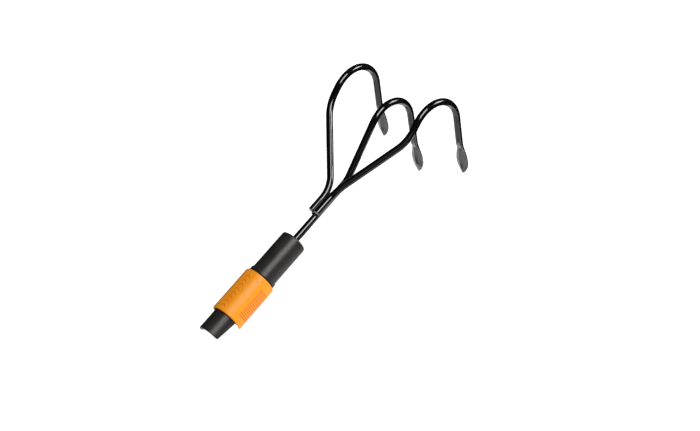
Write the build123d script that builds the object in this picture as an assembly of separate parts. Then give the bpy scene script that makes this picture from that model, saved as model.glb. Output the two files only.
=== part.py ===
from build123d import *
import os
from math import atan2, cos, degrees, pi, radians, sin, sqrt

os.makedirs("parts", exist_ok=True)

# Hand cultivator head with a quick coupling. Millimetres, +Z up.
# The handle's axis is the X axis, the handle leaves towards -X and the tines point away from it.
# The origin is on that axis where the socket's wall becomes a full circle.

# ---------------------------------------------------------------- driving dimensions
# Socket body
BORE_R = 10.0              # bore that takes the handle's spigot
BODY_R = 15.0              # outside of the body
BODY_LEN = 109.5           # from the origin to the tine end
BODY_END_ROUND = 2.0
TANG_ROOM = 33.5           # from the shoulder that the spigot meets to the tine end
NUT_CHAMBER_R = 9.0        # room behind the shoulder for the tang's nut
NUT_CHAMBER_LEN = 12.0
LIP_ROOM = 0.4             # the lip's inside is wider than the bore by this
LEAD_IN = 0.8              # cone from the lip's inside down to the bore
SCOOP_LEN = 29.4           # half-round lip that guides the spigot in
SCOOP_TIP_Z = 5.1          # height of the lip's edge at its tip
SCOOP_ROOT_Z = 0.8         # height of that edge at the full circle
SCOOP_ROOT_ROUND = 5.0
MOUTH_CHAMFER = 1.2
LIP_ROUND = 0.8            # outer edge of the lip's tip

# Locking sleeve
SLEEVE_START = -3.7
SLEEVE_LEN = 55.7
SLEEVE_ROOM = 2.2          # round the body, for cam ring, spring and seat ring
SLEEVE_WALL = 1.3
SLEEVE_EDGE_ROUND = 1.0
SLEEVE_TRAVEL = 8.0
SLEEVE_LAND_START = 5.4    # front land, which runs on the body
SLEEVE_LAND_LEN = 3.6
FRONT_POCKET_ROOM = 1.5    # round the body in front of the land, for the stop ring
NOTCH_DEPTH = 6.6          # cut in the sleeve's front edge, under the lip
NOTCH_ROUND = 3.0
RIB_PITCH = 2.67           # grip grooves on each flank
RIB_WIDTH = 1.3
RIB_DEPTH = 0.45
RIB_FRONT_MARGIN = 8.7     # first groove, from the sleeve's front edge
RIB_BACK_MARGIN = 12.0     # room kept behind the last groove
RIB_TOP_ANGLE = 26.0       # the grooves' upper end, above the horizontal
RIB_ARC = 80.0

# Latch balls and cam ring
BALL_COUNT = 3
BALL_SHOWN = 0.99          # reach of a ball into the bore at rest
BALL_X = 20.0
BALL_LIFT = 1.25           # outward travel over the sleeve's whole travel
WINDOW_LIP = 0.8           # narrow lip that keeps a ball out of the bore
WINDOW_LIP_ROOM = 0.055
LATCH_GROOVE_HALF = 3.5    # shallow groove round the bore at the balls
LATCH_GROOVE_DEPTH = 0.4
CAM_LEN = 18.0
CAM_LEAD = 0.5             # the ramp's foot lies this far behind the balls
CAM_RELIEF_ROOM = 0.09     # over a ball that is fully out

# Spring, seat ring and wire rings
SPRING_WIRE_R = 0.6
SPRING_ROOM = 0.3          # between the body and the coils
SPRING_TURNS = 6.0
SEAT_FLANGE_LEN = 5.0
SEAT_HUB_WALL = 1.15
SEAT_NECK_WALL = 0.7       # of the groove between flange and hub
SEAT_NECK_LEN = 2.6
SEAT_HUB_LEN = 7.0
SEAT_HUB_ROUND = 0.35
SEAT_SHOWN = 6.2           # of the hub, behind the sleeve at rest
KEY_WIDTH = 3.0            # rib in the sleeve, which stops it turning
KEY_HEIGHT = 0.55
KEY_LEN = 14.0
KEY_SETBACK = 1.0          # of the key from the sleeve's back edge
STOP_RING_SHOWN = 1.1      # of the stop ring, above the body
STOP_RING_THICK = 1.2
STOP_GROOVE_DEPTH = 0.8
RING_GAP = 3.0             # opening of the wire and stop rings
WIRE_RING_R = 0.6
WIRE_RING_INSET = 0.66     # middle of the wire, from the seat ring's back face

# Tang fastening
ROD_R = 4.0
COLLAR_R = 8.0
COLLAR_LEN = 7.0
COLLAR_FLAT = 6.5          # half the distance across the collar's flats
PIN_R = 1.25
WASHER_R = 8.0
WASHER_THICK = 1.6
SPRING_WASHER_R = 7.4
SPRING_WASHER_THICK = 2.0
NUT_FLATS = 13.0
NUT_THICK = 6.5
WASHER_ROOM = 0.2          # round the tang
SPRING_WASHER_SLIT = 1.2
NUT_CROWN = 0.6            # share of the corner that its chamfer takes along the axis
PIN_SETBACK = 0.2          # of the pin's ends below the collar
TANG_END_MARGIN = 1.0      # tang past the nut

# Tines: corners of each rod's middle line, and the bend at each corner
BEND_X = 200.9             # where the centre rod leaves the handle's axis
BEND_R = 24.8
CENTRE_HOOK = (332.3, 0.0, 67.5)
CENTRE_TIP = (290.0, 0.0, -87.2)
CENTRE_HOOK_R = 34.2
SIDE_START_X = 147.3       # cut end of a side rod
SIDE_SPREAD_X = 180.6      # where a side rod turns outwards
SIDE_SPREAD_R = 43.5
SIDE_ELBOW = (256.6, 59.4, 38.4)
SIDE_ELBOW_R = 47.0
SIDE_HOOK = (349.7, 59.9, 82.1)
SIDE_HOOK_R = 37.0
SIDE_TIP = (304.3, 61.4, -71.7)
SIDE_LIE = 30.0            # a side rod lies this far round from straight above the centre rod
BLADE_LEN = 44.0
BLADE_WIDE_AT = 17.0       # widest point, from the tip
BLADE_WIDTH = 16.4
BLADE_NECK_WIDTH = 10.0
BLADE_THICK = 3.2
BLADE_OFFSET = 1.2         # the inner side is forged away, so the blade lies this far outwards
BLADE_CORE = 1.2           # thickness left at the blade's edge
BLADE_EDGE = 0.9
BLADE_TIP_R = 1.6
BLADE_BOW = (0.66, 0.56)   # a point on the rounded flank, as shares of half width and length
SHOULDER_LEN = 12.0        # round rod to flat blade
SHOULDER_SINK = 0.1        # of the shoulder's end below the blade's faces

# Weld beads
WELD_R = 0.425 * ROD_R
WELD_LEN = 18.0
WELD_LEAD = 1.6            # how far a bead wraps past the cut end
WELD_STANDOFF = 0.625 * ROD_R  # bead's middle, out from the line between two rods

# Clearances
RUN_FIT = 0.06             # radial, parts that move on each other
STATIC_FIT = 0.02          # radial, parts seated together
SEAT_GAP = 0.02            # axial, faces that rest on each other
BALL_ROOM = 0.05           # between a ball and the land over it
ROD_GAP = 0.1              # between rods that the beads join

# ---------------------------------------------------------------- places worked out from those
SEAT_DEPTH = BODY_LEN - TANG_ROOM
SLEEVE_BORE_R = BODY_R + SLEEVE_ROOM
SLEEVE_R = SLEEVE_BORE_R + SLEEVE_WALL
SLEEVE_END = SLEEVE_START + SLEEVE_LEN
FRONT_POCKET_R = BODY_R + FRONT_POCKET_ROOM
NOTCH_HALF_WIDTH = BODY_R - 0.5
RIB_COUNT = int((SLEEVE_LEN - RIB_FRONT_MARGIN - RIB_BACK_MARGIN) / RIB_PITCH) + 1
LAND_END = SLEEVE_LAND_START + SLEEVE_LAND_LEN
CAM_END = LAND_END + CAM_LEN
LAND_R = BODY_R + RUN_FIT
BALL_R = (LAND_R - BALL_ROOM - BORE_R + BALL_SHOWN) / 2
BALL_CENTRE_R = LAND_R - BALL_ROOM - BALL_R
WINDOW_LIP_R = sqrt(BALL_R ** 2 - (BALL_CENTRE_R - BORE_R - WINDOW_LIP) ** 2) + WINDOW_LIP_ROOM
CAM_SLOPE = BALL_LIFT / SLEEVE_TRAVEL
CAM_RAMP_FOOT = BALL_X + CAM_LEAD
CAM_RELIEF_R = LAND_R + BALL_LIFT + CAM_RELIEF_ROOM
SPRING_MEAN_R = BODY_R + SPRING_ROOM + SPRING_WIRE_R
SEAT_FLANGE_R = SLEEVE_BORE_R - RUN_FIT - STATIC_FIT
SEAT_HUB_R = BODY_R + SEAT_HUB_WALL
SEAT_NECK_R = BODY_R + SEAT_NECK_WALL
STOP_RING_OUT_R = BODY_R + STOP_RING_SHOWN
SEAT_END = SLEEVE_END + SEAT_SHOWN
SEAT_START = SEAT_END - SEAT_HUB_LEN - SEAT_FLANGE_LEN
WIRE_RING_X = SEAT_END - WIRE_RING_INSET
WEB_START = SEAT_DEPTH + NUT_CHAMBER_LEN
WASHER_START = WEB_START - SEAT_GAP - WASHER_THICK
SPRING_WASHER_START = WASHER_START - SPRING_WASHER_THICK
NUT_START = SPRING_WASHER_START - NUT_THICK
TANG_END = NUT_START - TANG_END_MARGIN
COLLAR_START = BODY_LEN - COLLAR_LEN
LIE_R = 2 * ROD_R + ROD_GAP
SIDE_Y = LIE_R * sin(radians(SIDE_LIE))
SIDE_Z = LIE_R * cos(radians(SIDE_LIE))


# ---------------------------------------------------------------- shapes used more than once
def turned(corners):
    """Solid of revolution about the X axis from its (x, radius) corners."""
    return revolve(make_face(Polyline(*corners, close=True)), Axis.X)


def tube(start, end, outer, inner):
    """Straight ring along X."""
    return turned([(start, inner), (end, inner), (end, outer), (start, outer)])


def bar(start, end, radius):
    """Round bar along X."""
    return Pos(start, 0, 0) * Rot(0, 90, 0) * extrude(Circle(radius), end - start)


def block(low, high):
    """Box between two corners."""
    size = [b - a for a, b in zip(low, high)]
    middle = [(a + b) / 2 for a, b in zip(low, high)]
    return Pos(*middle) * Box(*size)


def split_ring(ring, start, end):
    """A ring with its opening at the bottom, where the body is open too."""
    return ring - block((start - 1, -RING_GAP / 2, -SLEEVE_R), (end + 1, RING_GAP / 2, 0))


# ---------------------------------------------------------------- socket body
def socket_body():
    lip_r = BORE_R + LIP_ROOM
    body = turned([
        (0, BORE_R), (-LEAD_IN, lip_r), (-SCOOP_LEN, lip_r), (-SCOOP_LEN, BODY_R), (BODY_LEN, BODY_R),
        (BODY_LEN, ROD_R + STATIC_FIT), (WEB_START, ROD_R + STATIC_FIT),
        (WEB_START, NUT_CHAMBER_R), (SEAT_DEPTH, NUT_CHAMBER_R), (SEAT_DEPTH, BORE_R),
    ])
    ends = body.edges().filter_by(GeomType.CIRCLE).sort_by(Axis.X)
    rim = [e for e in ends if abs(e.radius - BODY_R) < 0.01 and e.center().X > SEAT_DEPTH]
    body = fillet(rim, BODY_END_ROUND)
    lip_rim = [
        e for e in body.edges().filter_by(GeomType.CIRCLE)
        if abs(e.radius - BODY_R) < 0.01 and e.center().X < 0
    ]
    body = fillet(lip_rim, LIP_ROUND)
    mouth = [
        e for e in body.edges().filter_by(GeomType.CIRCLE)
        if abs(e.radius - lip_r) < 0.01 and e.center().X < -LEAD_IN - 1
    ]
    body = chamfer(mouth, MOUTH_CHAMFER)
    # Lower half cut away, so that the spigot can be laid in from below.
    low = -BODY_R - 1
    slope = (SCOOP_TIP_Z - SCOOP_ROOT_Z) / SCOOP_LEN
    cut = make_face(Polyline(
        (-SCOOP_LEN - 1, low), (-SCOOP_LEN - 1, SCOOP_TIP_Z + slope),
        (0, SCOOP_ROOT_Z), (0, low), close=True,
    ))
    root = [v for v in cut.vertices() if abs(v.X) < 0.01 and v.Y > low + 1]
    body -= extrude(Plane.XZ * fillet(root, SCOOP_ROOT_ROUND), BODY_R + 1, both=True)
    # Groove of the stop ring in front of the sleeve's land.
    stop_end = SLEEVE_LAND_START - SEAT_GAP
    body -= tube(
        stop_end - STOP_RING_THICK - SEAT_GAP, stop_end + SEAT_GAP,
        BODY_R + 1, BODY_R - STOP_GROOVE_DEPTH,
    )
    # Groove of the wire ring behind the seat ring.
    half = WIRE_RING_R + STATIC_FIT
    body -= tube(WIRE_RING_X - half, WIRE_RING_X + half, BODY_R + 1, BODY_R - half)
    # Windows of the latch balls: a wide hole down to a narrow lip at the bore.
    for turn in ball_angles():
        wide = Pos(BALL_X, 0, BORE_R + WINDOW_LIP) * extrude(Circle(BALL_R + RUN_FIT), BODY_R)
        lip = Pos(BALL_X, 0, 0) * extrude(Circle(WINDOW_LIP_R), BODY_R)
        body -= Rot(turn, 0, 0) * (wide + lip)
    body -= tube(
        BALL_X - LATCH_GROOVE_HALF, BALL_X + LATCH_GROOVE_HALF,
        BORE_R + LATCH_GROOVE_DEPTH, BORE_R - 1,
    )
    return body - collar_shape(STATIC_FIT)


def ball_angles():
    """Turn of each ball about X from straight up, evenly spaced."""
    return [360 / BALL_COUNT * i for i in range(BALL_COUNT)]


def collar_shape(room):
    """Round collar with two flats, open to the tine end."""
    collar = bar(COLLAR_START - room, BODY_LEN + room, COLLAR_R + room)
    flat = COLLAR_FLAT + room
    keep = block((COLLAR_START - 1, -BODY_R, -flat), (BODY_LEN + 1, BODY_R, flat))
    return collar & keep


# ---------------------------------------------------------------- locking sleeve
def locking_sleeve():
    sleeve = turned([
        (SLEEVE_START, FRONT_POCKET_R), (SLEEVE_START, SLEEVE_R),
        (SLEEVE_END, SLEEVE_R), (SLEEVE_END, SLEEVE_BORE_R),
        (LAND_END, SLEEVE_BORE_R), (LAND_END, LAND_R),
        (SLEEVE_LAND_START, LAND_R), (SLEEVE_LAND_START, FRONT_POCKET_R),
    ])
    rims = [
        e for e in sleeve.edges().filter_by(GeomType.CIRCLE)
        if abs(e.radius - SLEEVE_R) < 0.01
    ]
    sleeve = fillet(rims, SLEEVE_EDGE_ROUND)
    front = SLEEVE_START - 1
    notch = make_face(Polyline(
        (front, -NOTCH_HALF_WIDTH), (SLEEVE_START + NOTCH_DEPTH, -NOTCH_HALF_WIDTH),
        (SLEEVE_START + NOTCH_DEPTH, NOTCH_HALF_WIDTH), (front, NOTCH_HALF_WIDTH), close=True,
    ))
    inner = [v for v in notch.vertices() if v.X > SLEEVE_START]
    sleeve -= extrude(fillet(inner, NOTCH_ROUND), -SLEEVE_R - 1)
    for i in range(RIB_COUNT):
        x = SLEEVE_START + RIB_FRONT_MARGIN + i * RIB_PITCH
        groove = Pos(x, SLEEVE_R) * Rectangle(RIB_WIDTH, 2 * RIB_DEPTH)
        cut = revolve(groove, Axis.X, revolution_arc=RIB_ARC)
        sleeve -= Rot(RIB_TOP_ANGLE - RIB_ARC, 0, 0) * cut
        sleeve -= Rot(180 - RIB_TOP_ANGLE, 0, 0) * cut
    return sleeve + sleeve_key()


def sleeve_key():
    """Rib along the bottom of the sleeve's bore, in the seat ring's slot."""
    middle_of_wall = SLEEVE_BORE_R + SLEEVE_WALL / 2
    low = SLEEVE_BORE_R - KEY_HEIGHT
    ring = tube(SLEEVE_END - KEY_LEN, SLEEVE_END - KEY_SETBACK, middle_of_wall, low)
    width = block(
        (SLEEVE_END - KEY_LEN - 1, -KEY_WIDTH / 2, -SLEEVE_R), (SLEEVE_END, KEY_WIDTH / 2, 0)
    )
    return ring & width


def cam_ring():
    """Ring pressed in the sleeve: a land over the balls, then a ramp into the relief."""
    outer = SLEEVE_BORE_R - STATIC_FIT
    ramp_top = CAM_RAMP_FOOT - (CAM_RELIEF_R - LAND_R) / CAM_SLOPE
    return turned([
        (LAND_END + SEAT_GAP, outer), (CAM_END, outer), (CAM_END, LAND_R),
        (CAM_RAMP_FOOT, LAND_R), (ramp_top, CAM_RELIEF_R), (LAND_END + SEAT_GAP, CAM_RELIEF_R),
    ])


def latch_ball(turn):
    return Rot(turn, 0, 0) * Pos(BALL_X, 0, BALL_CENTRE_R) * Sphere(BALL_R)


# ---------------------------------------------------------------- spring and rings
def return_spring():
    """Closed coils between the cam ring and the seat ring, as a helix of round wire."""
    start = CAM_END + SEAT_GAP + SPRING_WIRE_R
    length = SEAT_START - SEAT_GAP - SPRING_WIRE_R - start
    helix = Helix(pitch=length / SPRING_TURNS, height=length, radius=SPRING_MEAN_R)
    section = Plane(origin=helix @ 0, z_dir=helix % 0) * Circle(SPRING_WIRE_R)
    wire = sweep(section, path=helix, is_frenet=True)
    return Pos(start, 0, 0) * Rot(0, 90, 0) * wire


def seat_ring():
    """Spring seat and back guide of the sleeve, with a slot for the sleeve's key."""
    inner = BODY_R + STATIC_FIT
    flange_end = SEAT_START + SEAT_FLANGE_LEN
    hub_start = flange_end + SEAT_NECK_LEN
    recess = BODY_R + WIRE_RING_R + STATIC_FIT
    recess_start = WIRE_RING_X - WIRE_RING_R - SEAT_GAP
    ring = turned([
        (SEAT_START, inner), (SEAT_START, SEAT_FLANGE_R), (flange_end, SEAT_FLANGE_R),
        (flange_end, SEAT_NECK_R), (hub_start, SEAT_NECK_R),
        (hub_start, SEAT_HUB_R), (SEAT_END, SEAT_HUB_R), (SEAT_END, recess),
        (recess_start, recess), (recess_start, inner),
    ])
    hub_rims = [
        e for e in ring.edges().filter_by(GeomType.CIRCLE)
        if abs(e.radius - SEAT_HUB_R) < 0.01
    ]
    ring = fillet(hub_rims, SEAT_HUB_ROUND)
    half = KEY_WIDTH / 2 + RUN_FIT
    top = -(SLEEVE_BORE_R - KEY_HEIGHT - RUN_FIT)
    return ring - block((SEAT_START - 1, -half, -SLEEVE_R), (flange_end + 1, half, top))


def seat_wire_ring():
    """Round wire half sunk in the body, which holds the seat ring's hub."""
    wire = revolve(Pos(WIRE_RING_X, BODY_R) * Circle(WIRE_RING_R), Axis.X)
    return split_ring(wire, SEAT_START, SEAT_END)


def stop_ring():
    """Flat ring in a groove of the body, which the sleeve's land rests against."""
    end = SLEEVE_LAND_START - SEAT_GAP
    inner = BODY_R - STOP_GROOVE_DEPTH + STATIC_FIT
    return split_ring(tube(end - STOP_RING_THICK, end, STOP_RING_OUT_R, inner), 0, end)


# ---------------------------------------------------------------- tang fastening
def tang_collar():
    shape = collar_shape(0) - bar(COLLAR_START - 1, BODY_LEN + 1, ROD_R + STATIC_FIT)
    return shape - pin_bar(PIN_R, COLLAR_R + 1)


def pin_bar(radius, half_len):
    """Round bar across the collar, along Y."""
    x = COLLAR_START + COLLAR_LEN / 2
    return Pos(x, 0, 0) * Rot(90, 0, 0) * extrude(Circle(radius), half_len, both=True)


def collar_pin():
    return pin_bar(PIN_R - STATIC_FIT / 2, COLLAR_R - PIN_SETBACK)


def tang_washer():
    return tube(WASHER_START, WASHER_START + WASHER_THICK, WASHER_R, ROD_R + WASHER_ROOM)


def spring_washer():
    end = WASHER_START - SEAT_GAP
    start = end - SPRING_WASHER_THICK + SEAT_GAP
    half = SPRING_WASHER_SLIT / 2
    ring = tube(start, end, SPRING_WASHER_R, ROD_R + WASHER_ROOM)
    slit = block((start - 1, -half, 0), (end + 1, half, SPRING_WASHER_R + 1))
    return ring - slit


def tang_nut():
    hexagon = RegularPolygon(NUT_FLATS / 2, 6, major_radius=False)
    length = NUT_THICK - 2 * SEAT_GAP
    prism = Pos(NUT_START, 0, 0) * Rot(0, 90, 0) * extrude(hexagon, length)
    corner = NUT_FLATS / 2 / cos(pi / 6)
    flat = NUT_FLATS / 2
    crown = NUT_CROWN * (corner - flat)
    turned_blank = turned([
        (NUT_START, ROD_R + STATIC_FIT), (NUT_START, flat),
        (NUT_START + crown, corner), (NUT_START + length - crown, corner),
        (NUT_START + length, flat), (NUT_START + length, ROD_R + STATIC_FIT),
    ])
    return prism & turned_blank


# ---------------------------------------------------------------- tines
def blade_frame(tip, hook, side):
    """Plane of a blade, with its middle at the neck, X across and Y towards the tip."""
    run = (Vector(*tip) - Vector(*hook)).normalized()
    across = Vector(0, side, 0) - run * (run.Y * side)
    across = across.normalized()
    outwards = run.cross(across) * side
    neck = Vector(*tip) - run * BLADE_LEN
    plane = Plane(
        origin=neck + outwards * BLADE_OFFSET, x_dir=across, z_dir=across.cross(run)
    )
    return plane, neck, run


def blade(plane):
    """Flat pointed blade: straight sides that widen, then two arcs to a blunt tip."""
    wide_at = BLADE_LEN - BLADE_WIDE_AT
    half_neck, half = BLADE_NECK_WIDTH / 2, BLADE_WIDTH / 2
    tip_y = BLADE_LEN - BLADE_TIP_R
    bow = (half * BLADE_BOW[0], wide_at + BLADE_WIDE_AT * BLADE_BOW[1])
    right = Polyline((0, 0), (half_neck, 0), (half, wide_at))
    right_arc = ThreePointArc((half, wide_at), bow, (BLADE_TIP_R, tip_y))
    tip_arc = ThreePointArc((BLADE_TIP_R, tip_y), (0, BLADE_LEN), (-BLADE_TIP_R, tip_y))
    left_arc = ThreePointArc((-BLADE_TIP_R, tip_y), (-bow[0], bow[1]), (-half, wide_at))
    left = Polyline((-half, wide_at), (-half_neck, 0), (0, 0))
    outline = make_face(right + right_arc + tip_arc + left_arc + left)
    core = extrude(outline, BLADE_CORE / 2, both=True)
    slant = degrees(atan2(BLADE_EDGE, (BLADE_THICK - BLADE_CORE) / 2))
    depth = (BLADE_THICK - BLADE_CORE) / 2
    front = Pos(0, 0, BLADE_CORE / 2) * extrude(outline, depth, taper=slant)
    plate = core + front + mirror(front, Plane.XY)
    return plane * plate


def tine(corners, bends, side):
    """Round rod through its corners, drawn out to a flat blade at the last one."""
    plane, neck, run = blade_frame(corners[-1], corners[-2], side)
    start = neck - run * SHOULDER_LEN / 2
    path = FilletPolyline(*corners[:-1], tuple(start), radius=bends)
    rod = sweep(Plane(origin=path @ 0, z_dir=path % 0) * Circle(ROD_R), path=path)
    round_end = Plane(origin=start, x_dir=plane.x_dir, z_dir=run) * Circle(ROD_R)
    flat_end = plane * Pos(0, SHOULDER_LEN / 2, 0) * Rot(-90, 0, 0) * Ellipse(
        BLADE_NECK_WIDTH / 2, BLADE_THICK / 2 - SHOULDER_SINK
    )
    return rod + loft([round_end, flat_end]) + blade(plane)


def centre_tine():
    corners = [(TANG_END, 0, 0), (BEND_X, 0, 0), CENTRE_HOOK, CENTRE_TIP]
    return tine(corners, [BEND_R, CENTRE_HOOK_R], 1) - pin_bar(PIN_R, COLLAR_R)


def side_tine(side):
    def mirrored(point):
        return (point[0], side * point[1], point[2])

    corners = [
        (SIDE_START_X, side * SIDE_Y, SIDE_Z), (SIDE_SPREAD_X, side * SIDE_Y, SIDE_Z),
        mirrored(SIDE_ELBOW), mirrored(SIDE_HOOK), mirrored(SIDE_TIP),
    ]
    return tine(corners, [SIDE_SPREAD_R, SIDE_ELBOW_R, SIDE_HOOK_R], side)


# ---------------------------------------------------------------- weld beads
def weld_bead(first, second, out, rods):
    """Round-ended bead in the groove between two rods, given as (y, z) middles."""
    middle = ((first[0] + second[0]) / 2, (first[1] + second[1]) / 2)
    y = middle[0] + WELD_STANDOFF * out[0]
    z = middle[1] + WELD_STANDOFF * out[1]
    start = SIDE_START_X - WELD_LEAD
    bead = Pos(0, y, z) * bar(start + WELD_R, start + WELD_LEN - WELD_R, WELD_R)
    for x in (start + WELD_R, start + WELD_LEN - WELD_R):
        bead += Pos(x, y, z) * Sphere(WELD_R)
    for rod in rods:
        bead -= rod
    return bead


def side_weld(side):
    out = (side * cos(radians(SIDE_LIE)), -sin(radians(SIDE_LIE)))
    rods = [centre_rod_stub(), side_rod_stub(side)]
    return weld_bead((0, 0), (side * SIDE_Y, SIDE_Z), out, rods)


def top_weld():
    rods = [side_rod_stub(side) for side in (1, -1)]
    return weld_bead((SIDE_Y, SIDE_Z), (-SIDE_Y, SIDE_Z), (0, 1), rods + [centre_rod_stub()])


def centre_rod_stub():
    return bar(SIDE_START_X - 10, SIDE_SPREAD_X, ROD_R)


def side_rod_stub(side):
    return Pos(0, side * SIDE_Y, SIDE_Z) * bar(SIDE_START_X, SIDE_SPREAD_X, ROD_R)


# ---------------------------------------------------------------- write one file per piece
pieces = {
    "socket_body": socket_body(),
    "locking_sleeve": locking_sleeve(),
    "cam_ring": cam_ring(),
    "return_spring": return_spring(),
    "seat_ring": seat_ring(),
    "seat_wire_ring": seat_wire_ring(),
    "stop_ring": stop_ring(),
    "tang_collar": tang_collar(),
    "collar_pin": collar_pin(),
    "tang_washer": tang_washer(),
    "spring_washer": spring_washer(),
    "tang_nut": tang_nut(),
    "centre_tine": centre_tine(),
    "left_tine": side_tine(1),
    "right_tine": side_tine(-1),
    "left_weld_bead": side_weld(1),
    "right_weld_bead": side_weld(-1),
    "top_weld_bead": top_weld(),
}
for name, turn in zip(("top", "right", "left"), ball_angles()):
    pieces[f"latch_ball_{name}"] = latch_ball(turn)

for name, solid in pieces.items():
    export_step(solid, f"parts/{name}.step")
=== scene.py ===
import math

import bmesh
import bpy
import numpy as np
from mathutils import Matrix, Vector

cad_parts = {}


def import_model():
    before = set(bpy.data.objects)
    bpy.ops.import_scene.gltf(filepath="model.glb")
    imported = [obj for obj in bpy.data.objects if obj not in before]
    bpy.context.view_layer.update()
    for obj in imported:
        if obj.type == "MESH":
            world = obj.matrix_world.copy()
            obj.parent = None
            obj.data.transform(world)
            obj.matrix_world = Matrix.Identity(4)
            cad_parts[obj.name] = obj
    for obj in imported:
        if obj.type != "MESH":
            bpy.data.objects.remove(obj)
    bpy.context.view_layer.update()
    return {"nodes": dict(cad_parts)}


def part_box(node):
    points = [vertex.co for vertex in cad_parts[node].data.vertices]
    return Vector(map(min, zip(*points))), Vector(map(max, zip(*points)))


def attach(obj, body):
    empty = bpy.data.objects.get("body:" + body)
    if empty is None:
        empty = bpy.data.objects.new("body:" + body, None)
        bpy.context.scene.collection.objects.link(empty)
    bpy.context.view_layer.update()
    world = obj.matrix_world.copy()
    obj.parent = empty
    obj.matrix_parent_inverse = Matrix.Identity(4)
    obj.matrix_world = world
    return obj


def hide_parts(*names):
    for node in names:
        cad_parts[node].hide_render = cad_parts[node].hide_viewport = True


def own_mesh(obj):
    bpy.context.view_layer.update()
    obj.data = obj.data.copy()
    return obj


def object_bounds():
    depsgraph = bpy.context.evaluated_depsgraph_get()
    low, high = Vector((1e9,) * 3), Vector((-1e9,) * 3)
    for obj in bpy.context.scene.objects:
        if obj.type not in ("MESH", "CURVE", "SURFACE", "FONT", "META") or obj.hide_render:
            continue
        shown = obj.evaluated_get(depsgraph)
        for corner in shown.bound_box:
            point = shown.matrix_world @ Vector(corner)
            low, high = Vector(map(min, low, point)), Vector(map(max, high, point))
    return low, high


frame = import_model()

MM = 0.001

# ---------------------------------------------------------------- sizes of the rods and blades, mm
ROD_R = 3.98
# The centre rod runs along X to its bend. Each hook or elbow is the corner where two straight runs would
# meet, with the radius of the bend there.
BEND_X, BEND_R = 200.9, 24.8
CENTRE_HOOK, CENTRE_HOOK_R = (332.3, 0.0, 67.5), 34.2
CENTRE_TIP = (290.03, 0.0, -87.08)
# The side rods start beside each other on top of the centre rod, and then spread.
SIDE_START_X, SIDE_SPREAD_X, SIDE_SPREAD_R = 147.3, 180.6, 43.5
SIDE_Y, SIDE_Z = 4.05, 7.015
SIDE_ELBOW, SIDE_ELBOW_R = (256.6, 59.4, 38.4), 47.0
SIDE_HOOK, SIDE_HOOK_R = (349.7, 59.9, 82.1), 37.0
SIDE_TIP = (304.3, 61.4, -71.7)
SAWN_CHAMFER = 0.4
# Lengths of a blade are measured back from its tip.
BLADE_LEN, BLADE_WIDE_AT, BLADE_HALF_WIDTH = 44.0, 17.0, 8.2
BLADE_HALF_THICK, BLADE_THIN_LEN = 1.6, 14.0   # half thickness, and where it starts to thin
BLADE_OFFSET = 1.2         # how far the blade's middle lies to the outer side of the rod's
BLADE_RIM, RIM_DEG = 0.1, 12.0     # height and place of the rim's inner corner on the section
BLADE_FLAT = 0.3           # share of the width between the two bevels
BLADE_BLEND_LEN = 16.0     # stretch over which the rod's round section becomes the blade's
SCOOP_LEN = 15.0           # slope that is forged in the rod's inner side, down to the flat
# Spacing of the rings: coarse along the rod, fine near the tip, and how many steps a bend has.
ROD_STEP, TIP_STEP, TIP_FINE_LEN, BEND_STEPS = 1.2, 0.35, 64.0, 60

# ---------------------------------------------------------------- sizes of welds, sleeve and spring, mm
WELD_RADIUS, WELD_OUT = 1.7, 2.5       # of a bead, and its middle out from the line between two rods
WELD_RIPPLE, WELD_SIDE_DEG = 1.6, 30   # ripple pitch, and how far a side groove faces below level
SLEEVE_RIM_ROUND, SLEEVE_STEP = 1.0, 0.22
NOTCH_DEPTH, NOTCH_HALF_WIDTH = 6.6, 14.5
GROOVE_FIRST, GROOVE_PITCH, GROOVE_COUNT, GROOVE_DEPTH = 8.7, 2.67, 14, 0.5
MARK_FIRST, MARK_PITCH, MARK_COUNT, MARK_HEIGHT = 8.0, 5.8, 8, 0.3
DIMPLES = ((-0.2, 82), (43.8, 39))     # place along X, and degrees from the top, on both flanks
DIMPLE_R, DIMPLE_DEPTH = 1.1, 0.3
SPRING_TURNS, SPRING_WIRE_R = 6.0, 0.59
NECK_R = 15.9              # the seat ring's faces inside this radius are its neck


# ---------------------------------------------------------------- colour and node helpers
def linear(hex_colour):
    """sRGB hex such as "#E8820C" as linear RGBA."""
    parts = [int(hex_colour[i:i + 2], 16) / 255 for i in (1, 3, 5)]
    return [*(p / 12.92 if p <= 0.04045 else ((p + 0.055) / 1.055) ** 2.4 for p in parts), 1.0]


def add(tree, kind, settings=None, links=None):
    """Adds a node, sets its attributes and sockets, and links its inputs from (node, output) pairs."""
    node = tree.nodes.new(kind)
    for name, value in (settings or {}).items():
        if isinstance(name, str) and name not in node.inputs:
            setattr(node, name, value)
        else:
            node.inputs[name].default_value = value
    for name, (source, output) in (links or {}).items():
        tree.links.new(source.outputs[output], node.inputs[name])
    return node


def new_material(name, settings):
    """A material with its Principled shader, whose sockets hold the constant values."""
    material = bpy.data.materials.new(name)
    material.use_nodes = True
    tree = material.node_tree
    tree.nodes.clear()
    shader = add(tree, "ShaderNodeBsdfPrincipled", settings)
    out = add(tree, "ShaderNodeOutputMaterial")
    tree.links.new(shader.outputs[0], out.inputs["Surface"])
    place = add(tree, "ShaderNodeTexCoord")
    return material, tree, shader, place


def ramp(tree, source, output, stops):
    """Colour ramp with (position, colour) stops, fed by a node's output."""
    node = add(tree, "ShaderNodeValToRGB")
    tree.links.new(source.outputs[output], node.inputs["Fac"])
    bar = node.color_ramp
    while len(bar.elements) < len(stops):
        bar.elements.new(0.5)
    for element, (position, colour) in zip(bar.elements, stops):
        element.position = position
        element.color = colour
    return node


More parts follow.
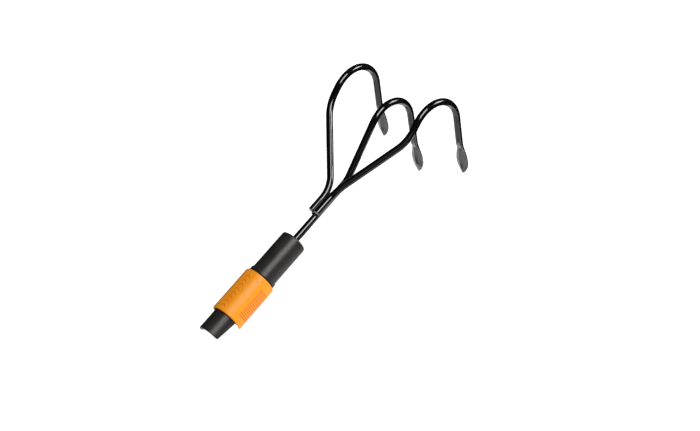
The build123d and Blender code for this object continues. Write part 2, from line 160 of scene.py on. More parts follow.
def noise(tree, place, size_mm, detail=3.0, stretch=(1, 1, 1)):
    """Noise in object space whose lumps are about size_mm across."""
    spread = add(
        tree, "ShaderNodeMapping", {"Scale": [s / (size_mm * MM) for s in stretch]},
        {"Vector": (place, "Object")},
    )
    return add(tree, "ShaderNodeTexNoise", {"Scale": 1.0, "Detail": detail, "Roughness": 0.55},
               {"Vector": (spread, "Vector")})


def grey(value):
    """Neutral colour, or a number for a socket, of a linear value."""
    return [value, value, value, 1.0]


def share_of(tree, name):
    """A piece's own vertex attribute, which is 0 on pieces without it."""
    return add(tree, "ShaderNodeAttribute", {"attribute_name": name})


COLOUR_A, COLOUR_B, MIXED = 6, 7, 2     # a Mix node's colour sockets, by their index


def blend_colour(tree, low, high, amount, amount_output="Fac"):
    """Mix from a low to a high (node, output) or constant colour, by a node's output."""
    mix = add(tree, "ShaderNodeMix", {"data_type": "RGBA"})
    for index, colour in ((COLOUR_A, low), (COLOUR_B, high)):
        if isinstance(colour, tuple):
            tree.links.new(colour[0].outputs[colour[1]], mix.inputs[index])
        else:
            mix.inputs[index].default_value = colour
    tree.links.new(amount.outputs[amount_output], mix.inputs[0])
    return mix


# ---------------------------------------------------------------- materials
def black_enamel():
    """Gloss stoving enamel on steel rod: jet black, with a faint orange peel. It is thin, grey and more
    matt on the blades' ground bevels, where the lighter grey is also painted sheen for their reflection,
    worn along their rims, and the sawn ends show through."""
    material, tree, shader, place = new_material("black_enamel", {"IOR": 1.72, "Metallic": 0.0})
    cloud = noise(tree, place, 9.0, 4.0)
    gloss_black = ramp(tree, cloud, "Fac", [(0.35, linear("#070708")), (0.7, linear("#0D0D0E"))])
    # Painted sheen: this lighter grey on the blades' bevels is partly a thin, ground enamel and partly
    # painted sheen that stands in for their reflection.
    ground_grey_and_sheen = ramp(tree, noise(tree, place, 3.0, 4.0), "Fac",
                        [(0.3, linear("#3A3C40")), (0.75, linear("#505256"))])
    forged, sawn, worn = (share_of(tree, name) for name in ("forged", "sawn", "worn"))
    on_blade = blend_colour(tree, (gloss_black, "Color"), (ground_grey_and_sheen, "Color"), forged)
    scratch = ramp(tree, noise(tree, place, 1.3, 4.0), "Fac", [(0.42, grey(0.0)), (0.6, grey(1.0))])
    rim = add(tree, "ShaderNodeMath", {"operation": "MULTIPLY"},
              {0: (scratch, "Color"), 1: (worn, "Fac")})
    with_rim = blend_colour(tree, (on_blade, MIXED), linear("#8E9094"), rim, "Value")
    saw_marks = ramp(tree, noise(tree, place, 0.7, 2.0, (1, 1, 6)), "Fac",
                     [(0.3, linear("#7C7C7D")), (0.7, linear("#AEAEAE"))])
    colour = blend_colour(tree, (with_rim, MIXED), (saw_marks, "Color"), sawn)
    tree.links.new(colour.outputs[MIXED], shader.inputs["Base Color"])
    speck = noise(tree, place, 1.4, 2.0)
    gloss = ramp(tree, speck, "Fac", [(0.3, grey(0.07)), (0.75, grey(0.15))])
    matt = ramp(tree, noise(tree, place, 2.0, 3.0), "Fac", [(0.3, grey(0.19)), (0.75, grey(0.30))])
    blade_gloss = blend_colour(tree, (gloss, "Color"), (matt, "Color"), forged)
    roughness = blend_colour(tree, (blade_gloss, MIXED), grey(0.55), sawn)
    tree.links.new(roughness.outputs[MIXED], shader.inputs["Roughness"])
    peel = noise(tree, place, 1.1, 1.0)
    hammer = noise(tree, place, 2.6, 2.0)
    relief = blend_colour(tree, (peel, "Fac"), (hammer, "Fac"), forged)
    bump = add(tree, "ShaderNodeBump", {"Distance": 0.05 * MM}, {"Height": (relief, MIXED)})
    stronger = add(tree, "ShaderNodeMath", {"operation": "MULTIPLY_ADD", 1: 0.14, 2: 0.08},
                   {0: (forged, "Fac")})
    tree.links.new(stronger.outputs[0], bump.inputs["Strength"])
    tree.links.new(bump.outputs["Normal"], shader.inputs["Normal"])
    return material


def weld_enamel():
    """The same enamel over a weld: duller, with fine spatter and ripple."""
    material, tree, shader, place = new_material("enamelled_weld", {"IOR": 1.5, "Metallic": 0.0})
    cloud = noise(tree, place, 1.6, 4.0)
    colour = ramp(tree, cloud, "Fac", [(0.35, linear("#0C0C0D")), (0.72, linear("#2A2A2C"))])
    tree.links.new(colour.outputs["Color"], shader.inputs["Base Color"])
    gloss = ramp(tree, cloud, "Fac", [(0.3, grey(0.28)), (0.75, grey(0.5))])
    tree.links.new(gloss.outputs["Color"], shader.inputs["Roughness"])
    spatter = noise(tree, place, 0.8, 3.0)
    bump = add(tree, "ShaderNodeBump", {"Strength": 0.5, "Distance": 0.12 * MM},
               {"Height": (spatter, "Fac")})
    tree.links.new(bump.outputs["Normal"], shader.inputs["Normal"])
    return material


def black_nylon():
    """Glass-filled nylon, moulded in a spark-eroded tool: warm black, satin, with a fine even grain."""
    material, tree, shader, place = new_material("black_nylon", {"IOR": 1.5, "Metallic": 0.0})
    cloud = noise(tree, place, 14.0, 4.0)
    colour = ramp(tree, cloud, "Fac", [(0.3, linear("#231F1E")), (0.75, linear("#2D2928"))])
    # Painted shade: the seat ring's neck behind the sleeve is painted near black, and made more matt.
    painted_neck_shade = share_of(tree, "painted_neck_shade")
    neck_shaded = blend_colour(tree, (colour, "Color"), linear("#0B0909"), painted_neck_shade)
    tree.links.new(neck_shaded.outputs[MIXED], shader.inputs["Base Color"])
    flow = noise(tree, place, 3.0, 3.0)
    gloss = ramp(tree, flow, "Fac", [(0.3, grey(0.35)), (0.75, grey(0.43))])
    dulled = blend_colour(tree, (gloss, "Color"), grey(0.72), painted_neck_shade)
    tree.links.new(dulled.outputs[MIXED], shader.inputs["Roughness"])
    # The moulded grain is about 0.05 mm: it is drawn at 0.45 mm so that it shows.
    grain = noise(tree, place, 0.45, 2.0)
    bump = add(tree, "ShaderNodeBump", {"Strength": 0.22, "Distance": 0.04 * MM},
               {"Height": (grain, "Fac")})
    tree.links.new(bump.outputs["Normal"], shader.inputs["Normal"])
    return material


def orange_polypropylene():
    """Dyed polypropylene, moulded: strong orange, soft sheen, a slight unevenness of dye and gloss. It is
    painted a darker orange as painted shade in the grooves and dimples, on the raised marks and round
    their edges."""
    material, tree, shader, place = new_material("orange_polypropylene", {
        "IOR": 1.46, "Metallic": 0.0, "Subsurface Weight": 0.04, "Subsurface Scale": 1.2 * MM,
        "Subsurface Radius": (1.0, 0.35, 0.1),
    })
    cloud = noise(tree, place, 11.0, 4.0)
    dye_colour = ramp(tree, cloud, "Fac", [(0.3, linear("#EA9000")), (0.75, linear("#F09600"))])
    # Painted shade: a darker orange, laid by the sleeve's attribute in the grooves and dimples, on the
    # raised marks and round their edges.
    painted_shade = ramp(tree, noise(tree, place, 2.0, 3.0), "Fac",
                [(0.3, linear("#DC5E00")), (0.75, linear("#E66C00"))])
    colour = blend_colour(tree, (dye_colour, "Color"), (painted_shade, "Color"), share_of(tree, "painted_shade"))
    tree.links.new(colour.outputs[MIXED], shader.inputs["Base Color"])
    flow = noise(tree, place, 4.0, 3.0, (0.4, 1, 1))
    gloss = ramp(tree, flow, "Fac", [(0.3, grey(0.38)), (0.75, grey(0.47))])
    tree.links.new(gloss.outputs["Color"], shader.inputs["Roughness"])
    # This grain too is drawn coarser than the real 0.05 mm.
    grain = noise(tree, place, 0.5, 2.0)
    bump = add(tree, "ShaderNodeBump", {"Strength": 0.14, "Distance": 0.04 * MM},
               {"Height": (grain, "Fac")})
    tree.links.new(bump.outputs["Normal"], shader.inputs["Normal"])
    return material


def natural_acetal():
    """Natural acetal, turned: off-white and waxy, with fine turning rings along the axis."""
    material, tree, shader, place = new_material("natural_acetal", {"IOR": 1.48, "Metallic": 0.0})
    cloud = noise(tree, place, 6.0, 3.0)
    colour = ramp(tree, cloud, "Fac", [(0.3, linear("#D2CFC2")), (0.75, linear("#DEDBD0"))])
    tree.links.new(colour.outputs["Color"], shader.inputs["Base Color"])
    rings = noise(tree, place, 0.5, 2.0, (1, 0.02, 0.02))
    gloss = ramp(tree, rings, "Fac", [(0.3, grey(0.34)), (0.75, grey(0.5))])
    tree.links.new(gloss.outputs["Color"], shader.inputs["Roughness"])
    bump = add(tree, "ShaderNodeBump", {"Strength": 0.2, "Distance": 0.03 * MM},
               {"Height": (rings, "Fac")})
    tree.links.new(bump.outputs["Normal"], shader.inputs["Normal"])
    return material


def steel(name, light, dark, rough, lump_mm, stretch, relief):
    """Bare or plated steel: a metal whose gloss and colour follow the marks of how it was made."""
    material, tree, shader, place = new_material(name, {"Metallic": 1.0})
    marks = noise(tree, place, lump_mm, 3.0, stretch)
    colour = ramp(tree, marks, "Fac", [(0.3, linear(dark)), (0.75, linear(light))])
    tree.links.new(colour.outputs["Color"], shader.inputs["Base Color"])
    gloss = ramp(tree, marks, "Fac", [(0.3, grey(rough)), (0.75, grey(rough + 0.12))])
    tree.links.new(gloss.outputs["Color"], shader.inputs["Roughness"])
    bump = add(tree, "ShaderNodeBump", {"Strength": relief, "Distance": 0.03 * MM},
               {"Height": (marks, "Fac")})
    tree.links.new(bump.outputs["Normal"], shader.inputs["Normal"])
    return material


enamel = black_enamel()
weld = weld_enamel()
nylon = black_nylon()
orange = orange_polypropylene()
acetal = natural_acetal()
# Zinc plate: cool, slightly blotchy and half matt.
zinc = steel("zinc_plated_steel", "#C9CCD0", "#A9ADB3", 0.28, 2.2, (1, 1, 1), 0.15)
# Drawn spring wire: darker, with fine marks along the drawing direction.
spring_wire = steel("drawn_spring_steel", "#8E8E90", "#6C6B6C", 0.22, 0.6, (0.2, 1, 1), 0.12)
# Polished bearing balls: bright, with only a trace of lapping marks.
bearing_steel = steel("polished_bearing_steel", "#D8D9DC", "#C8CACD", 0.06, 0.8, (1, 1, 1), 0.03)


# ---------------------------------------------------------------- mesh helpers
def set_share(mesh, name, values):
    """Gives a mesh a vertex attribute with one number for each point."""
    attribute = mesh.attributes.new(name, "FLOAT", "POINT")
    attribute.data.foreach_set("value", np.asarray(values, np.float32))


def piece_from(name, points, faces, material, sharp_deg, shares=None):
    """A mesh piece from points in mm, smooth except across edges sharper than sharp_deg. shares holds
    one number for each point under the name of a vertex attribute."""
    mesh = bpy.data.meshes.new(name)
    mesh.from_pydata((np.asarray(points) * MM).tolist(), [], faces)
    for key, values in (shares or {}).items():
        set_share(mesh, key, values)
    mesh.validate()
    mesh.shade_smooth()
    mesh.set_sharp_from_angle(angle=math.radians(sharp_deg))
    mesh.materials.append(material)
    piece = bpy.data.objects.new(name, mesh)
    bpy.context.scene.collection.objects.link(piece)
    return piece


def grid_faces(rows, columns, wrap_rows=False):
    """Quads of a rows by columns grid that closes on itself across its columns, and down its rows if
    asked: each joins point (r, c) to (r, c + 1), (r + 1, c + 1) and (r + 1, c)."""
    count = rows if wrap_rows else rows - 1
    r = np.arange(count)[:, None]
    c = np.arange(columns)[None, :]
    next_r, next_c = (r + 1) % rows, (c + 1) % columns
    corners = [r * columns + c, r * columns + next_c, next_r * columns + next_c, next_r * columns + c]
    return np.stack([q.ravel() for q in corners], axis=1)


def capped_tube(name, rings, material, sharp_deg=40.0, shares=None):
    """Tube from rings[row, column] points, closed by a fan round the mean of each end ring. shares has
    rows by columns numbers."""
    rows, columns = rings.shape[:2]
    faces = grid_faces(rows, columns).tolist()
    points = np.concatenate([rings.reshape(-1, 3), rings[:1].mean(1), rings[-1:].mean(1)])
    first, last = rows * columns, rows * columns + 1
    for c in range(columns):
        n = (c + 1) % columns
        faces.append([first, n, c])
        faces.append([last, (rows - 1) * columns + c, (rows - 1) * columns + n])
    spread = {key: np.concatenate([v.ravel(), v[0, :1], v[-1, :1]]) for key, v in (shares or {}).items()}
    return piece_from(name, points, faces, material, sharp_deg, spread)


def smooth_step(x):
    """0 below 0, 1 above 1, and 3x^2 - 2x^3 between."""
    t = np.clip(x, 0.0, 1.0)
    return t * t * (3 - 2 * t)


def unit(v):
    """Vectors divided by their own lengths."""
    return v / np.linalg.norm(v, axis=-1, keepdims=True)


# ---------------------------------------------------------------- rods
def bent_line(corners, bends, fine_len):
    """Points along straight runs joined by tangent arcs of the given radii, closer together over the
    last fine_len. An arc's points are its centre plus the slerp of its two radius vectors: sin((1 - t) a)
    and sin(t a) times them, over sin a. Returns the points with their distance from the line's end."""
    corners = [np.array(c, float) for c in corners]
    track = [corners[0][None]]
    for before, corner, after, radius in zip(corners, corners[1:], corners[2:], bends):
        back, on = unit(before - corner), unit(after - corner)
        half = np.arccos(np.clip(back @ on, -1, 1)) / 2
        reach = radius / np.tan(half)
        centre = corner + unit(back + on) * radius / np.sin(half)
        from_centre, to_centre = corner + back * reach - centre, corner + on * reach - centre
        turn = np.pi - 2 * half
        a = np.linspace(0, 1, BEND_STEPS)[:, None] * turn
        track.append(centre + (np.sin(turn - a) * from_centre + np.sin(a) * to_centre) / np.sin(turn))
    track.append(corners[-1][None])
    track = np.concatenate(track)
    along = np.concatenate([[0], np.cumsum(np.linalg.norm(np.diff(track, axis=0), axis=1))])
    length = along[-1]
    stations = np.concatenate([
        np.linspace(0, length - fine_len, int((length - fine_len) / ROD_STEP), endpoint=False),
        np.linspace(length - fine_len, length, int(fine_len / TIP_STEP)),
    ])
    line = np.stack([np.interp(stations, along, track[:, i]) for i in range(3)], axis=1)
    return line, length - stations


def rod_frame(line):
    """Unit vectors at each point: along the line, across it near Y, and to the inner side of the hook."""
    along = unit(np.gradient(line, axis=0))
    across = unit(np.array([0.0, 1.0, 0.0]) - along[:, 1:2] * along)
    return along, across, np.cross(across, along)


def blade_section(angle, half_width, half_thick, rim):
    """Faceted blade section: flat on the outer side, upright walls, and on the inner side a flat middle
    with a bevel down to the rim on each side. Gives (across, inner) for each angle, by going straight
    from corner to corner."""
    w, c, h = half_width, half_width * BLADE_FLAT, half_thick
    corner_deg = [-90, -42, -26, RIM_DEG, 52, 128, 180 - RIM_DEG, 206, 222, 270]
    across = np.stack([0 * w, 0.94 * w, w, w, c, -c, -w, -w, -0.94 * w, 0 * w])
    inner = np.stack([-h, -h, -0.8 * h, rim + 0 * h, h, h, rim + 0 * h, -0.8 * h, -h, -h])
    corners = np.radians(corner_deg)
    share = np.stack([np.interp(angle, corners, row) for row in np.eye(len(corners))], axis=1)
    return (share @ across).T, (share @ inner).T


def tine_rings(corners, bends, columns=64):
    """Rings of a tine. The section is a circle cut off by two planes, a sloping one on the inner side
    and a shallow one outside. It is then blended into a faceted blade, whose half width grows from the
    rod's radius and closes as 1 - run^1.7 to the power 0.66 over the last stretch. Two attributes go
    with it: one for the forging finish on the sloping cut and the bevels, which on the bevels also
    paints a lighter sheen, and one worn along the rims, the tip and the cut's edge."""
    line, left = bent_line(corners, bends, TIP_FINE_LEN)
    along, across, inner = rod_frame(line)
    angle = np.linspace(-0.5 * np.pi, 1.5 * np.pi, columns, endpoint=False)

    thin = smooth_step((BLADE_THIN_LEN - left) / BLADE_THIN_LEN)
    half_thick = BLADE_HALF_THICK * (1 - 0.45 * thin)
    scoop = np.clip((BLADE_LEN + 3 - left) / SCOOP_LEN, 0, 1)
    ceiling = ROD_R + (half_thick - BLADE_OFFSET - ROD_R) * scoop
    ground = -ROD_R + (ROD_R - half_thick - BLADE_OFFSET) * smooth_step(scoop)
    round_y = ROD_R * np.cos(angle)[None] * np.ones_like(left)[:, None]
    round_z = np.clip(ROD_R * np.sin(angle)[None], ground[:, None], ceiling[:, None])

    widen = smooth_step((BLADE_LEN + 2 - left) / (BLADE_LEN + 2 - BLADE_WIDE_AT))
    half_width = ROD_R + (BLADE_HALF_WIDTH - ROD_R) * widen
    run = np.clip((BLADE_WIDE_AT - left) / BLADE_WIDE_AT, 0, 1)
    half_width = half_width * (1 - run ** 1.7) ** 0.66
    blade_y, blade_z = blade_section(angle, half_width, half_thick, BLADE_RIM)
    share = smooth_step((BLADE_LEN - 1 - left) / BLADE_BLEND_LEN)[:, None]
    y = round_y * (1 + (half_width / ROD_R - 1)[:, None] * share) * (1 - share) + blade_y * share
    z = round_z * (1 - share) + (blade_z - BLADE_OFFSET) * share
    rings = line[:, None] + across[:, None] * y[..., None] + inner[:, None] * z[..., None]

    lift = np.sin(angle)[None]
    bevel = smooth_step((np.abs(np.cos(angle)) - 0.5) / 0.2)[None]
    cut_face = smooth_step(0.5 + (ROD_R * lift - ceiling[:, None]) / 0.4) * (scoop > 0)[:, None]
    # Painted sheen: the bevels take more of the forging finish than the flat middle, so that they show
    # lighter.
    blade_face = smooth_step((lift - math.sin(math.radians(RIM_DEG - 5))) / 0.1) * (0.2 + 0.8 * bevel)
    forged = 0.7 * cut_face * (1 - share) + blade_face * share
    from_rim = np.degrees(np.abs(np.arcsin(lift) - math.radians(RIM_DEG)))
    tip = smooth_step((2.5 - left) / 2.0)[:, None] * (lift > 0)
    on_slope = ((scoop > 0) * (scoop < 1))[:, None]
    ridge = smooth_step(1.3 - np.abs(ROD_R * lift - ceiling[:, None]) / 0.55) * on_slope
    worn = np.clip(smooth_step(1.4 - from_rim / 4.5) * share + tip + ridge, 0, 1)
    return rings, along, {"forged": forged, "worn": worn}


def cut_square(rings, along, shares, size):
    """Adds the sawn start of a rod: its first ring moves on by size, and before it come two copies
    drawn in by size, the edge and the bare face, whose attribute sawn is 1 on the face."""
    middle = rings[0].mean(0)
    inner = middle + (rings[0] - middle) * (1 - size / ROD_R)
    rings = np.concatenate([inner[None], inner[None], (rings[0] + along[0] * size)[None], rings[1:]])
    shares = {key: np.concatenate([v[:1], v[:1], v]) for key, v in shares.items()}
    shares["sawn"] = np.zeros_like(shares["forged"])
    shares["sawn"][0] = 1.0
    return rings, shares


def tine(name, corners, bends, node):
    """One closed forging along a bent line, from its sawn start to the tip of its blade."""
    rings, along, shares = tine_rings(corners, bends)
    rings, shares = cut_square(rings, along, shares, SAWN_CHAMFER)
    piece = capped_tube(name, rings, enamel, 12.0, shares)
    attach(piece, "head")
    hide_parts(node)


def side_corners(side):
    """Corners of the left rod's line for side 1, and their mirror image in Y for side -1."""
    start, spread = (SIDE_START_X, SIDE_Y, SIDE_Z), (SIDE_SPREAD_X, SIDE_Y, SIDE_Z)
    points = [start, spread, SIDE_ELBOW, SIDE_HOOK, SIDE_TIP]
    return [(x, side * y, z) for x, y, z in points]


tang_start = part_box("centre_tine")[0].x / MM
tine("centre_tine_forging", [(tang_start, 0, 0), (BEND_X, 0, 0), CENTRE_HOOK, CENTRE_TIP],
     [BEND_R, CENTRE_HOOK_R], "centre_tine")
for side, word in ((1, "left"), (-1, "right")):
    tine(f"{word}_tine_forging", side_corners(side), [SIDE_SPREAD_R, SIDE_ELBOW_R, SIDE_HOOK_R],
         f"{word}_tine")


# ---------------------------------------------------------------- weld beads
def weld_bead(name, node, phase):
    """Bead as a tube along the groove between two rods. Its radius swells once per ripple of the weld
    and closes at both ends, and its middle wanders a little."""
    low, high = (np.array(c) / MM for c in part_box(node))
    side = np.sign(low[1] + high[1]) if "top" not in node else 0.0
    first = (0.0, 0.0) if side else (SIDE_Y, SIDE_Z)
    second = (side * SIDE_Y, SIDE_Z) if side else (-SIDE_Y, SIDE_Z)
    tilt = math.radians(WELD_SIDE_DEG)
    out = np.array([side * math.cos(tilt), -math.sin(tilt) if side else 1.0])
    middle = (np.array(first) + np.array(second)) / 2 + WELD_OUT * out
    u = np.linspace(0, 1, 160)[:, None]
    x = low[0] + (high[0] - low[0]) * u
    ends = np.clip(1 - np.abs(2 * u - 1) ** 8, 0, 1) ** 0.5
    ripple = 1 - 0.05 * (1 - np.cos(2 * np.pi * x / WELD_RIPPLE + phase))
    ripple = ripple - 0.04 * (1 + np.sin(x / 2.3 + 2 * phase))
    angle = np.linspace(0, 2 * np.pi, 32, endpoint=False)[None]
    size = WELD_RADIUS * ends * ripple
    wander = 0.1 * np.sin(x / 3.1 + phase)
    points = [x + 0 * angle, middle[0] - wander * out[1] + size * np.cos(angle),
              middle[1] + wander * out[0] + size * np.sin(angle)]
    piece = capped_tube(name, np.stack(points, axis=-1), weld)
    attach(piece, "head")
    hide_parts(node)


for phase, word in enumerate(("left", "right", "top")):
    weld_bead(f"{word}_weld_ripple", f"{word}_weld_bead", phase)


# ---------------------------------------------------------------- locking sleeve
def arc_points(x, r, radius, start_deg, end_deg, count):
    """Arc of a profile as (x, r) rows: its centre plus radius times the cosine and sine of the angle."""
    a = np.radians(np.linspace(start_deg, end_deg, count))
    return np.stack([x + radius * np.cos(a), r + radius * np.sin(a)], axis=1)


def sleeve_profile(start, end, outer, rim_round, step):
    """Closed (x, r) outline of the sleeve's wall, from its front rim over the outside and back inside:
    straight runs at four radii, joined by arcs at the rims. Inside lie, from the back, the bore, the
    land that meets the stop ring, and the front pocket."""
    pocket_r, land_r, bore_r = 16.5, 15.06, 17.2
    land_start, land_end = 5.4, 9.0
    soft = 0.35     # round of the inner edges
    flat = np.arange(start + rim_round, end - rim_round, step)[1:]
    return np.concatenate([
        arc_points(start + rim_round, outer - rim_round, rim_round, 180, 90, 7),
        np.stack([flat, np.full_like(flat, outer)], axis=1),
        arc_points(end - rim_round, outer - rim_round, rim_round, 90, 0, 7),
        arc_points(end - soft, bore_r + soft, soft, 0, -90, 4),
        [[35, bore_r], [20, bore_r], [land_end + 0.01, bore_r], [land_end, land_r + 0.2]],
        [[land_end - 0.3, land_r], [land_start + 0.3, land_r], [land_start, land_r + 0.3]],
        [[land_start, pocket_r - 0.01], [land_start - 0.2, pocket_r]],
        [[start + 5, pocket_r], [start + 2, pocket_r]],
        arc_points(start + soft, pocket_r + soft, soft, 270, 180, 4),
    ])


def notch_shift(x, angle, start, depth, half_width, outer):
    """How far the front edge moves back: depth below the axis and inside half_width in y, with sides
    that step smoothly, times a share that falls evenly from 1 at the rim to 0 at the end of the reach."""
    side_width, reach = 3.2, 8.6
    y = outer * np.cos(angle)
    below = np.sin(angle) < 0
    edge = smooth_step((half_width + side_width / 2 - np.abs(y)) / side_width) * below
    fade = np.clip((start + reach - x) / reach, 0, 1)
    return depth * edge[None, :] * fade[:, None]


def grip_grooves(x, angle_deg, first, pitch, count):
    """1 in the middle of a groove and 0 on a rib: half of 1 plus the cosine of the way along the pitch,
    to the power 1.5, inside a band of angles on each flank."""
    wave = (0.5 + 0.5 * np.cos(2 * np.pi * (x - first) / pitch)) ** 1.5
    last = first + pitch * (count - 1)
    span = smooth_step((x - first + pitch * 0.5) / 0.3) * smooth_step((last + pitch * 0.5 - x) / 0.3)
    flank = np.abs((angle_deg - 90 + 180) % 360 - 180)
    band = smooth_step((flank - 63) / 3.0) * smooth_step((146 - flank) / 3.0)
    return wave * span * band


def direction_chevrons(x, arc, first, pitch, count):
    """1 on raised arrowheads along the top, which point the way the sleeve is drawn: lines of even width
    where x plus lean times the way from the middle is a whole number of pitches from the first."""
    arm, half_line, lean = 3.9, 0.8, 0.8
    bent = x + lean * np.abs(arc)
    near = np.abs((bent - first + pitch / 2) % pitch - pitch / 2)
    line = smooth_step((half_line + 0.25 - near) / 0.5)
    ends = smooth_step((arm - np.abs(arc)) / 0.5)
    row = smooth_step((bent - first + pitch / 2) / 0.1)
    row *= smooth_step((first + pitch * (count - 0.5) - bent) / 0.1)
    return line * ends * row


def dimple(x, arc, middle_x, middle_arc, radius):
    """1 in the middle of a round dimple, falling to 0 at its radius."""
    return smooth_step(1.4 - 1.4 * np.hypot(x - middle_x, arc - middle_arc) / radius)


def sleeve():
    """Wall profile carried round the axis: (x, r cos a, r sin a) for each profile row (x, r) and angle a.
    The outside is lowered by the grip grooves and dimples and round the arrowheads, and the front edge
    is moved back by the notch."""
    low, high = (np.array(c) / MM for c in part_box("locking_sleeve"))
    start, end, outer = low[0], high[0], high[2]
    columns = 360
    profile = sleeve_profile(start, end, outer, SLEEVE_RIM_ROUND, SLEEVE_STEP)
    angle = np.linspace(0, 2 * np.pi, columns, endpoint=False)
    x = profile[:, :1] + notch_shift(profile[:, 0], angle, start, NOTCH_DEPTH, NOTCH_HALF_WIDTH, outer)
    r = profile[:, 1:] * np.ones((1, columns))
    outside = (profile[:, 1:] > outer - 0.05).astype(float)
    flank = np.degrees(angle)[None]
    grooves = grip_grooves(x, flank, start + GROOVE_FIRST, GROOVE_PITCH, GROOVE_COUNT) * outside
    arc = outer * (((angle - np.pi / 2 + np.pi) % (2 * np.pi)) - np.pi)[None]
    marks = direction_chevrons(x, arc, start + MARK_FIRST, MARK_PITCH, MARK_COUNT) * outside
    facing = outer * np.radians(flank - 90)
    holes = sum(dimple(x, side * facing, at_x, outer * np.radians(at_deg), DIMPLE_R)
                for side in (1, -1) for at_x, at_deg in DIMPLES)
    # The raised marks stay within the sleeve's radius, so the face round them lies lower by their height.
    sunk = smooth_step((5.6 - np.abs(arc)) / 1.2) * smooth_step((x - start - 3.5) / 1.5)
    sunk = sunk * smooth_step((end - 1.5 - x) / 1.5)
    r = r - outside * (MARK_HEIGHT * sunk * (1 - marks) + GROOVE_DEPTH * grooves + DIMPLE_DEPTH * holes)
    points = np.stack([x, r * np.cos(angle)[None], r * np.sin(angle)[None]], axis=-1)
    faces = grid_faces(len(profile), columns, wrap_rows=True)[:, ::-1]
    # Painted shade: how much darker orange each point gets, in the grooves and dimples, on the raised
    # marks and round their edges.
    edge = marks * (1 - marks) * 4
    painted_shade = np.clip(0.9 * grooves + 0.75 * marks + 0.5 * edge + 0.6 * holes, 0, 1)
    piece = piece_from("grip_sleeve", points.reshape(-1, 3), faces.tolist(), orange, 50.0,
                       {"painted_shade": painted_shade.ravel()})
    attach(piece, "sleeve")
    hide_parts("locking_sleeve")


sleeve()


# ---------------------------------------------------------------- pieces that keep their CAD shape
def skin(node, name, body, slot, material, sharp_deg=30.0):
    """Copy of a CAD piece with its loose triangles merged, so that it shades smoothly."""
    mesh = frame["nodes"][node].data.copy()
    mesh.name = name
    work = bmesh.new()
    work.from_mesh(mesh)
    bmesh.ops.remove_doubles(work, verts=work.verts, dist=1e-7)
    work.to_mesh(mesh)
    work.free()
    mesh.materials.clear()
    mesh.materials.append(material)
    mesh.shade_smooth()
    mesh.set_sharp_from_angle(angle=math.radians(sharp_deg))
    piece = bpy.data.objects.new(name, mesh)
    bpy.context.scene.collection.objects.link(piece)
    # Large faces set the normals, so that a small edge round doesn't bend the shading of a long wall.
    weigh = piece.modifiers.new("face_area_normals", "WEIGHTED_NORMAL")
    weigh.mode, weigh.weight, weigh.keep_sharp = "FACE_AREA", 100, True
    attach(piece, body)
    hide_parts(node)
    return piece


# CAD node, piece, body, slot and material.
KEPT = (
    ("socket_body", "moulded_body", "head", "body_plastic", nylon),
    ("seat_ring", "moulded_seat_ring", "head", "body_plastic", nylon),
    ("cam_ring", "turned_cam_ring", "sleeve", "cam_plastic", acetal),
    ("seat_wire_ring", "bent_wire_ring", "head", "spring_steel", spring_wire),
    ("stop_ring", "stamped_stop_ring", "head", "spring_steel", spring_wire),
    ("tang_collar", "turned_collar", "head", "fastener_steel", zinc),
    ("collar_pin", "ground_pin", "head", "fastener_steel", zinc),
    ("tang_washer", "stamped_washer", "head", "fastener_steel", zinc),
    ("spring_washer", "split_washer", "head", "fastener_steel", zinc),
    ("tang_nut", "hexagon_nut", "head", "fastener_steel", zinc),
    ("latch_ball_top", "bearing_ball_top", "ball_top", "ball_steel", bearing_steel),
    ("latch_ball_left", "bearing_ball_left", "ball_left", "ball_steel", bearing_steel),
    ("latch_ball_right", "bearing_ball_right", "ball_right", "ball_steel", bearing_steel),
)
kept = {row[0]: skin(*row) for row in KEPT}


def wound_spring(turns, wire_r):
    """Round wire along a helix about X: x = start + pitch * a / 2 pi, y = r cos a, z = r sin a. The
    section lies square to the wire, and its ends are cut square. It is built at the CAD spring's length;
    the sleeve's travel presses it in the real tool."""
    low, high = (np.array(c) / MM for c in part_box("return_spring"))
    start, length = low[0] + wire_r, high[0] - low[0] - 2 * wire_r
    mean_r = high[2] - wire_r
    steps_per_turn = 48
    a = np.linspace(0, 2 * np.pi * turns, steps_per_turn * int(turns) + 1)
    rise = length / a[-1]
    outward = np.stack([0 * a, np.cos(a), np.sin(a)], axis=1)
    along = unit(np.stack([rise + 0 * a, -mean_r * np.sin(a), mean_r * np.cos(a)], axis=1))
    beside = np.cross(along, outward)
    line = mean_r * outward + np.stack([start + rise * a, 0 * a, 0 * a], axis=1)
    around = np.linspace(0, 2 * np.pi, 18, endpoint=False)[None, :, None]
    rings = line[:, None] + wire_r * (np.cos(around) * beside[:, None] + np.sin(around) * outward[:, None])
    piece = capped_tube("wound_spring", rings, spring_wire)
    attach(piece, "head")
    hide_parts("return_spring")
    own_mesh(piece)


wound_spring(SPRING_TURNS, SPRING_WIRE_R)


def paint_neck_shade(mesh):
    """Painted shade in the seat ring's neck, behind the sleeve: 1 on points whose distance from
    the axis is below the neck's radius."""
    spots = np.empty(len(mesh.vertices) * 3, np.float32)
    mesh.vertices.foreach_get("co", spots)
    set_share(mesh, "painted_neck_shade", np.hypot(spots[1::3], spots[2::3]) < NECK_R * MM)


paint_neck_shade(kept["seat_ring"].data)


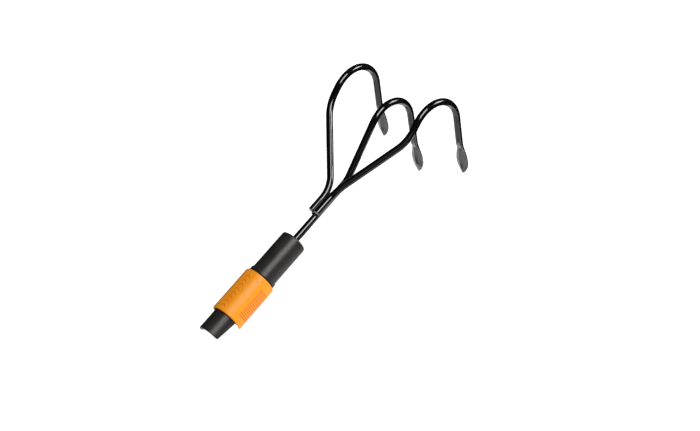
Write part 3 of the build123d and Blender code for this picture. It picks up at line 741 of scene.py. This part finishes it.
# ---------------------------------------------------------------- floor, light and camera
def sheet(name, low, high, height, reflect, glow):
    """Horizontal studio sheet between two (x, y) corners, partly lit by itself so that shadows stay
    faint."""
    mesh = bpy.data.meshes.new(name)
    (x0, y0), (x1, y1) = low, high
    corners = [(x0, y0, height), (x1, y0, height), (x1, y1, height), (x0, y1, height)]
    mesh.from_pydata(corners, [], [(0, 1, 2, 3)])
    material = bpy.data.materials.new(name)
    material.use_nodes = True
    tree = material.node_tree
    tree.nodes.clear()
    shader = add(tree, "ShaderNodeBsdfPrincipled", {
        "Base Color": grey(reflect), "Roughness": 0.9, "Specular IOR Level": 0.0,
        "Emission Color": grey(1.0), "Emission Strength": glow,
    })
    out = add(tree, "ShaderNodeOutputMaterial")
    tree.links.new(shader.outputs[0], out.inputs["Surface"])
    mesh.materials.append(material)
    plane = bpy.data.objects.new(name, mesh)
    bpy.context.scene.collection.objects.link(plane)
    return plane


# Cards under the floor that only gloss reflects: name, low and high corner, and glow. They lighten the
# handle's lower side and the hooks, and set how light the blades' bevels and rims are.
CARDS = (
    ("handle_card", (-0.15, -0.45), (0.146, 0.15), 0.8),
    ("hook_card", (0.165, -0.21), (0.256, 0.24), 0.95),
    ("blade_card", (0.256, -0.21), (0.277, 0.24), 0.35),
    ("rim_card", (0.277, -0.21), (0.316, 0.24), 1.5),
)


def floor():
    """Pale floor below the lowest point of the object. Gloss reflections leave it out, as if it were
    black, and show the cards instead."""
    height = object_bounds()[0].z - 0.002
    paper = sheet("studio_floor", (-30, -30), (30, 30), height, 0.85, 0.6)
    paper.visible_glossy = False
    for name, low, high, glow in CARDS:
        card = sheet(name, low, high, height - 0.001, 0.0, glow)
        card.visible_camera = False
        card.visible_diffuse = False
        card.visible_shadow = False


def softbox(name, location, aim, side, width, height, radiance):
    """Rectangular area light at a place, turned to a point, with its width along the given side
    direction. Its power is the radiance of its face times pi and its area."""
    light = bpy.data.lights.new(name, "AREA")
    light.shape = "RECTANGLE"
    light.size, light.size_y = width, height
    light.energy = radiance * math.pi * width * height
    lamp = bpy.data.objects.new(name, light)
    back = (Vector(location) - Vector(aim)).normalized()
    across = (Vector(side) - back * back.dot(Vector(side))).normalized()
    place = Matrix((across, back.cross(across), back)).transposed().to_4x4()
    place.translation = Vector(location)
    lamp.matrix_world = place
    bpy.context.scene.collection.objects.link(lamp)


EYE_AT = Vector((-324.74, -989.72, 1213.26)) * MM
EYE_RIGHT = Vector((0.62421, -0.7167, -0.31097))
EYE_UP = Vector((0.72017, 0.37355, 0.58465))
LENS_MM, SENSOR_MM = 77.19, 36.0
SHIFT = 0.5 / 700          # share of the picture's width


def camera():
    """Long lens above and behind the handle's right side, turned a little about its own axis. Its back
    is square to right and up, and up is then squared again."""
    back = EYE_RIGHT.cross(EYE_UP).normalized()
    up = back.cross(EYE_RIGHT).normalized()
    data = bpy.data.cameras.new("studio_camera")
    data.lens = LENS_MM
    data.sensor_width = SENSOR_MM
    data.clip_end = 50.0
    data.shift_x, data.shift_y = -SHIFT, SHIFT
    eye = bpy.data.objects.new("studio_camera", data)
    place = Matrix((EYE_RIGHT, up, back)).transposed().to_4x4()
    place.translation = EYE_AT
    eye.matrix_world = place
    bpy.context.scene.collection.objects.link(eye)
    bpy.context.scene.camera = eye


def world():
    """Bright neutral surround that gives even light, kept out of gloss reflections."""
    sky = bpy.data.worlds.new("studio_world")
    sky.use_nodes = True
    background = sky.node_tree.nodes["Background"]
    background.inputs["Color"].default_value = grey(1.0)
    background.inputs["Strength"].default_value = 0.38
    sky.cycles_visibility.glossy = False
    bpy.context.scene.world = sky


floor()
world()
camera()
# The key stands over the camera's side and stretches along X, so that its reflection runs along the rods.
softbox("key_softbox", (0.76, -1.15, 1.64), (0.125, 0, 0), (1, 0, 0),
        width=1.1, height=1.2, radiance=7.0)
# Low, from the tips' side: it draws the light line over the hooks and up the spread rods.
softbox("side_softbox", (1.22, -0.63, 0.17), (0.33, 0, 0.04), (0.57, 0.82, 0),
        width=0.4, height=0.48, radiance=9.0)
# Dim, over the handle's end: a faint sheen on the rising rods.
softbox("sheen_softbox", (-1.05, -0.84, 1.3), (0.2, 0, 0.03), (0.39, -0.38, -0.15),
        width=1.9, height=0.6, radiance=0.6)
bpy.context.scene.view_settings.view_transform = "Standard"
